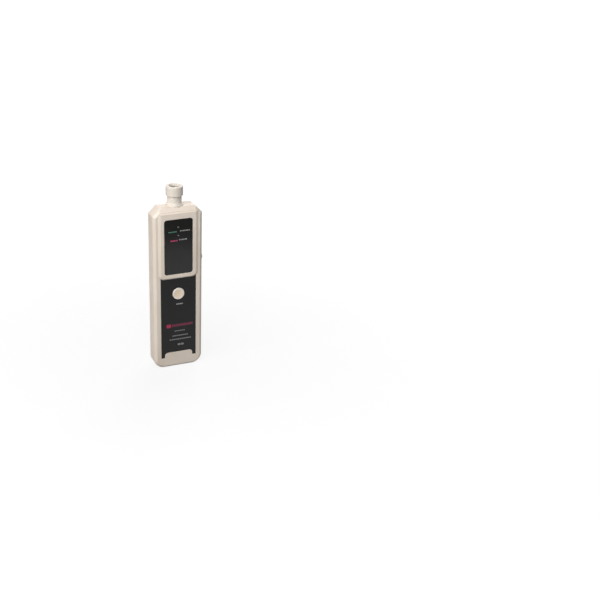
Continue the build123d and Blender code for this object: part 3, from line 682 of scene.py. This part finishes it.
def area_lamp(name, place, aim, side, watts):
    """A square soft light that faces a point."""
    data = bpy.data.lights.new(name, "AREA")
    data.size = side
    data.energy = watts
    lamp = bpy.data.objects.new(name, data)
    lamp.location = place
    lamp.rotation_euler = (Vector(aim) - Vector(place)).to_track_quat("-Z", "Y").to_euler()
    bpy.context.scene.collection.objects.link(lamp)


def background_ray(tree):
    """Gives 1 on rays that see the plain background: from the camera, or by way of gloss or glass."""
    path = put(tree, "ShaderNodeLightPath").outputs
    either = put(
        tree, "ShaderNodeMath", links={0: path["Is Camera Ray"], 1: path["Is Transmission Ray"]},
        operation="MAXIMUM",
    )
    any_ray = put(
        tree, "ShaderNodeMath", links={0: either.outputs[0], 1: path["Is Glossy Ray"]},
        operation="MAXIMUM",
    )
    return any_ray.outputs[0]


# The floor's own glow by distance from the object in metres, as the camera sees it and as gloss mirrors it,
# and its share beside the light that falls on the floor
GLOW_SEEN = {"From Min": 0.05, "From Max": 0.8, "To Min": 1.3, "To Max": 1.55}
# Gloss sees the glow strong near the object and faint beyond: a painted reflection that darkens the window
# towards its top
GLOW_MIRRORED = {"From Min": 0.365, "From Max": 0.41, "To Min": 1.05, "To Max": 0.1}
GLOW_SHARE = 0.65


def floor_material():
    # Painted board: matt, and as white as the backdrop where rays see it as background, in gloss only near
    # the object
    material, tree, shader, place = new_material(
        "painted_floor_board", IOR=1.45, Specular_IOR_Level=0.2
    )
    drift(tree, shader, place, bpy.context.scene.detector_stage.floor, linear("#989898"), 400)
    roughen(tree, shader, place, 0.85, 0.95, 40)
    away = put(tree, "ShaderNodeVectorMath", links={0: place}, operation="LENGTH").outputs["Value"]
    seen = put(tree, "ShaderNodeMapRange", GLOW_SEEN, {"Value": away}).outputs["Result"]
    mirrored = put(
        tree, "ShaderNodeMapRange", GLOW_MIRRORED, {"Value": away}, interpolation_type="SMOOTHSTEP"
    ).outputs["Result"]
    glossy = put(tree, "ShaderNodeLightPath").outputs["Is Glossy Ray"]
    level = put(tree, "ShaderNodeMix", links={"Factor": glossy, NUMBER_A: seen, NUMBER_B: mirrored})
    glow = put(
        tree, "ShaderNodeEmission", {"Color": (1, 1, 1, 1)}, {"Strength": level.outputs[MIXED_NUMBER]}
    )
    share = put(tree, "ShaderNodeMath", {1: GLOW_SHARE}, {0: background_ray(tree)}, operation="MULTIPLY")
    mixed = put(
        tree, "ShaderNodeMixShader",
        links={0: share.outputs[0], 1: shader.outputs[0], 2: glow.outputs[0]},
    )
    tree.links.new(mixed.outputs[0], tree.nodes["Material Output"].inputs["Surface"])
    return material


def plain_world():
    """A white backdrop that lights the object more gently than it looks."""
    world = bpy.data.worlds.new("white_backdrop")
    bpy.context.scene.world = world
    world.use_nodes = True
    tree = world.node_tree
    soft = tree.nodes["Background"]
    soft.inputs["Color"].default_value = (1, 1, 1, 1)
    soft.inputs["Strength"].default_value = bpy.context.scene.detector_stage.sky
    seen = put(tree, "ShaderNodeBackground", {"Color": (1, 1, 1, 1), "Strength": 1.0})
    mixed = put(
        tree, "ShaderNodeMixShader",
        links={0: background_ray(tree), 1: soft.outputs[0], 2: seen.outputs[0]},
    )
    tree.links.new(mixed.outputs[0], tree.nodes["World Output"].inputs["Surface"])


# The camera, in metres in the object's frame: where it stands, the direction that it looks in, and how
# near a thing may be to it and still show
CAMERA_PLACE = (-0.3097, -0.9124, 0.5132)
CAMERA_AIM = (0.305, 0.8574, -0.4145)
CAMERA_CLIP = 0.01

# Soft lamps, in metres: name, place, point that it faces, and side; its power is a property of the stage
LAMPS = (
    ("key", (-0.95, -0.46, 0.72), (0, 0, 0.12), 0.9),
    ("top", (-0.2, -0.36, 0.58), (0, 0, 0.17), 0.35),
    ("back", (0.74, 0.9, 0.55), (0, 0, 0.1), 0.8),
)


class DETECTOR_OT_stage(bpy.types.Operator):
    """Set up the camera, the floor and the soft light"""

    bl_idname = "detector.stage"
    bl_label = "Stage"

    def execute(self, context):
        scene = context.scene
        look = scene.detector_stage
        scene.view_settings.view_transform = "Standard"
        camera = bpy.data.objects.new("camera", bpy.data.cameras.new("camera"))
        scene.collection.objects.link(camera)
        camera.location = CAMERA_PLACE
        camera.rotation_euler = Vector(CAMERA_AIM).to_track_quat("-Z", "Y").to_euler()
        camera.data.lens = look.lens
        camera.data.shift_x = look.shift
        camera.data.clip_start = CAMERA_CLIP
        scene.camera = camera
        mesh = bpy.data.meshes.new("floor")
        form = bmesh.new()
        bmesh.ops.create_grid(form, x_segments=1, y_segments=1, size=look.floor_size / 2)
        form.to_mesh(mesh)
        form.free()
        mesh.materials.append(floor_material())
        floor = bpy.data.objects.new("floor", mesh)
        scene.collection.objects.link(floor)
        plain_world()
        for name, place, aim, side in LAMPS:
            area_lamp(name, place, aim, side, getattr(look, name + "_power"))
        return {"FINISHED"}


class DETECTOR_PT_panel(bpy.types.Panel):
    """Lists the sizes, colours and steps in the sidebar."""

    bl_idname = "DETECTOR_PT_panel"
    bl_label = "Leak detector"
    bl_space_type = "VIEW_3D"
    bl_region_type = "UI"
    bl_category = "Detector"

    def draw(self, context):
        for group in GROUPS:
            box = self.layout.box()
            for name in group.__annotations__:
                box.prop(getattr(context.scene, GROUPS[group]), name)
        for operator in OPERATORS:
            self.layout.operator(operator.bl_idname)


GROUPS = {
    DetectorHousing: "detector_housing",
    DetectorBattery: "detector_battery",
    DetectorPrint: "detector_print",
    DetectorStage: "detector_stage",
}
OPERATORS = (
    DETECTOR_OT_stage,
    DETECTOR_OT_housing,
    DETECTOR_OT_front,
    DETECTOR_OT_sensor,
    DETECTOR_OT_electronics,
    DETECTOR_OT_battery,
    DETECTOR_OT_print,
)


def register():
    for group, name in GROUPS.items():
        bpy.utils.register_class(group)
        setattr(bpy.types.Scene, name, PointerProperty(type=group))
    for kind in (*OPERATORS, DETECTOR_PT_panel):
        bpy.utils.register_class(kind)


def unregister():
    for kind in reversed((*OPERATORS, DETECTOR_PT_panel)):
        bpy.utils.unregister_class(kind)
    for group, name in reversed(list(GROUPS.items())):
        delattr(bpy.types.Scene, name)
        bpy.utils.unregister_class(group)


def main():
    register()
    bpy.ops.detector.stage()
    bpy.ops.detector.housing()
    bpy.ops.detector.front()
    bpy.ops.detector.sensor()
    bpy.ops.detector.electronics()
    bpy.ops.detector.battery()
    bpy.ops.detector.print()


if __name__ == "__main__":
    main()
